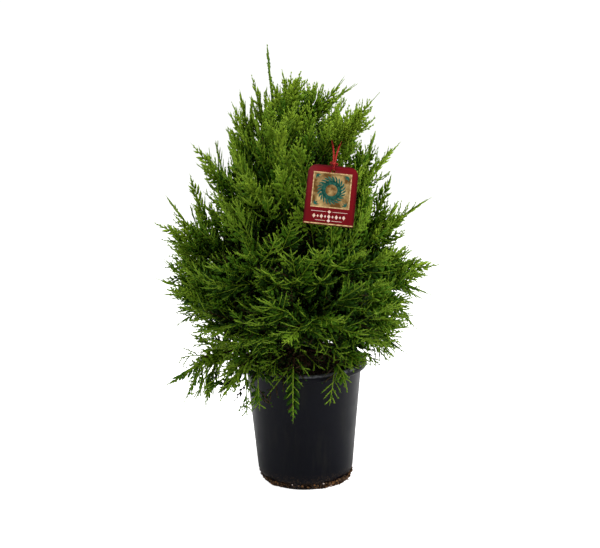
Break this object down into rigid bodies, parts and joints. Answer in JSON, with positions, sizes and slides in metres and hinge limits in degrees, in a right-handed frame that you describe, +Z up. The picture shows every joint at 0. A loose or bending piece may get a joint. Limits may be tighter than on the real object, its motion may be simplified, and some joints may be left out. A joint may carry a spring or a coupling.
{
  "type": "potted leyland cypress",
  "caption": "Young leyland cypress in a black nursery pot: a leaning stem wrapped in feathery flat sprays of yellow-green foliage, with a plain red hang tag on a cord.",
  "frame": {"origin": "middle of the pot's flat underside, which is the mount underside", "axes": "+Z up along the pot's axis, +X to the right as the tag is seen, -Y towards the side that the tag hangs on"},
  "size_m": [0.3559, 0.3547, 0.56],
  "materials": {
    "pot": "satin black blow-moulded plastic",
    "soil": "damp peat and bark compost, rough",
    "bark": "reddish-brown young bark, fine lengthways cracks",
    "foliage": "scale-leaved sprays, yellow-green tips over mid and dark green, matt",
    "tag": "printed card, satin",
    "cord": "twisted red thread, matt"
  },
  "bodies": {
    "root": {"bough_low_back_left": "bark", "bough_low_back_right": "bark", "bough_low_front": "bark", "bough_low_front_left": "bark", "bough_low_front_right": "bark", "bough_low_left": "bark", "bough_low_right": "bark", "bough_skirt_back_left": "bark", "bough_skirt_back_right": "bark", "bough_skirt_front": "bark", "bough_skirt_front_left": "bark", "bough_skirt_front_right": "bark", "bough_skirt_left": "bark", "bough_skirt_right": "bark", "foliage_high_back": "foliage", "foliage_high_front_left": "foliage", "foliage_high_front_right": "foliage", "foliage_high_left": "foliage", "foliage_high_right": "foliage", "foliage_leader": "foliage", "foliage_low_back_left": "foliage", "foliage_low_back_right": "foliage", "foliage_low_front": "foliage", "foliage_low_front_left": "foliage", "foliage_low_front_right": "foliage", "foliage_low_left": "foliage", "foliage_low_right": "foliage", "foliage_middle_back_left": "foliage", "foliage_middle_back_right": "foliage", "foliage_middle_front_left": "foliage", "foliage_middle_front_right": "foliage", "foliage_middle_left": "foliage", "foliage_middle_right": "foliage", "foliage_shoulder_back_left": "foliage", "foliage_shoulder_back_right": "foliage", "foliage_shoulder_front_left": "foliage", "foliage_shoulder_left": "foliage", "foliage_shoulder_right": "foliage", "foliage_skirt_back_left": "foliage", "foliage_skirt_back_right": "foliage", "foliage_skirt_front": "foliage", "foliage_skirt_front_left": "foliage", "foliage_skirt_front_right": "foliage", "foliage_skirt_left": "foliage", "foliage_skirt_right": "foliage", "foliage_top_back": "foliage", "foliage_top_front": "foliage", "foliage_top_left": "foliage", "foliage_top_right": "foliage", "pot": "pot", "soil": "soil", "tag": "tag", "tag_cord": "cord", "trunk": "bark"}
  },
  "joints": []
}
